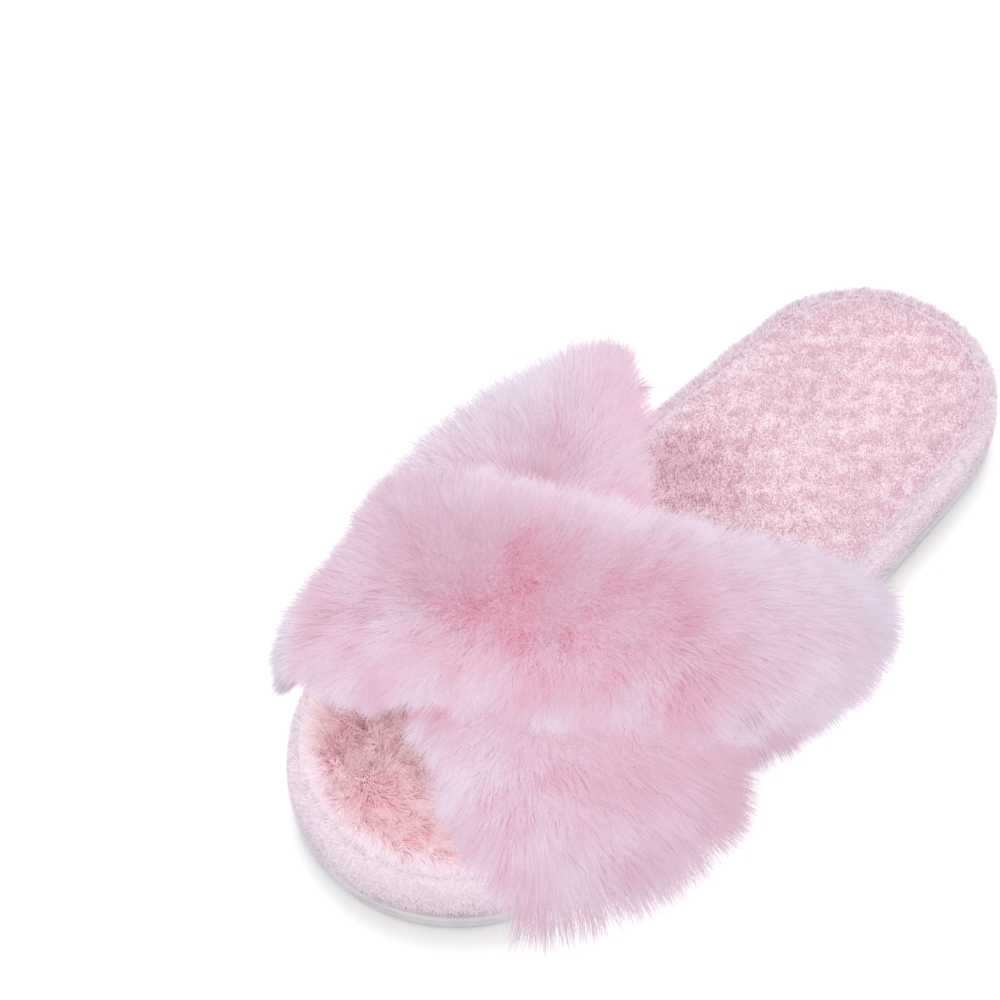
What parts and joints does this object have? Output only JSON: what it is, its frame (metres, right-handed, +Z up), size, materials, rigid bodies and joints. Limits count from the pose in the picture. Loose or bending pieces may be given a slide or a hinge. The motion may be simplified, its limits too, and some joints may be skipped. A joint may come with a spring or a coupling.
{
  "type": "fluffy house slipper",
  "caption": "Open-toe house slipper for a left foot: two crossed faux-fur straps over a plush footbed on a flat moulded sole.",
  "frame": {"origin": "on the floor, under the middle of the slipper's box", "axes": "+Z up, -Y towards the toe, -X towards the big-toe side"},
  "size_m": [0.1457, 0.2619, 0.0875],
  "materials": {
    "outsole_rubber": "matt moulded off-white sole",
    "foam_board": "closed-cell foam",
    "fibre_board": "pressed fibre board",
    "soft_foam": "soft open-cell foam",
    "footbed_plush": "short pink plush",
    "rim_fleece": "short-nap pink fleece",
    "strap_fur": "long faux fur, pink at the roots and pale lilac at the tips",
    "strap_lining": "smooth knitted lining",
    "thread": "twisted polyester thread"
  },
  "bodies": {
    "root": {"outsole": "outsole_rubber", "midsole": "foam_board", "insole_board": "fibre_board", "comfort_foam": "soft_foam", "footbed_plush": "footbed_plush", "rim_wrap": "rim_fleece", "rim_stitching": "thread", "footbed_seam": "thread", "under_strap_lining": "strap_lining", "under_strap_padding": "soft_foam", "under_strap_fur": "strap_fur", "under_strap_seam": "thread", "top_strap_lining": "strap_lining", "top_strap_padding": "soft_foam", "top_strap_fur": "strap_fur", "top_strap_seam": "thread"}
  },
  "joints": []
}
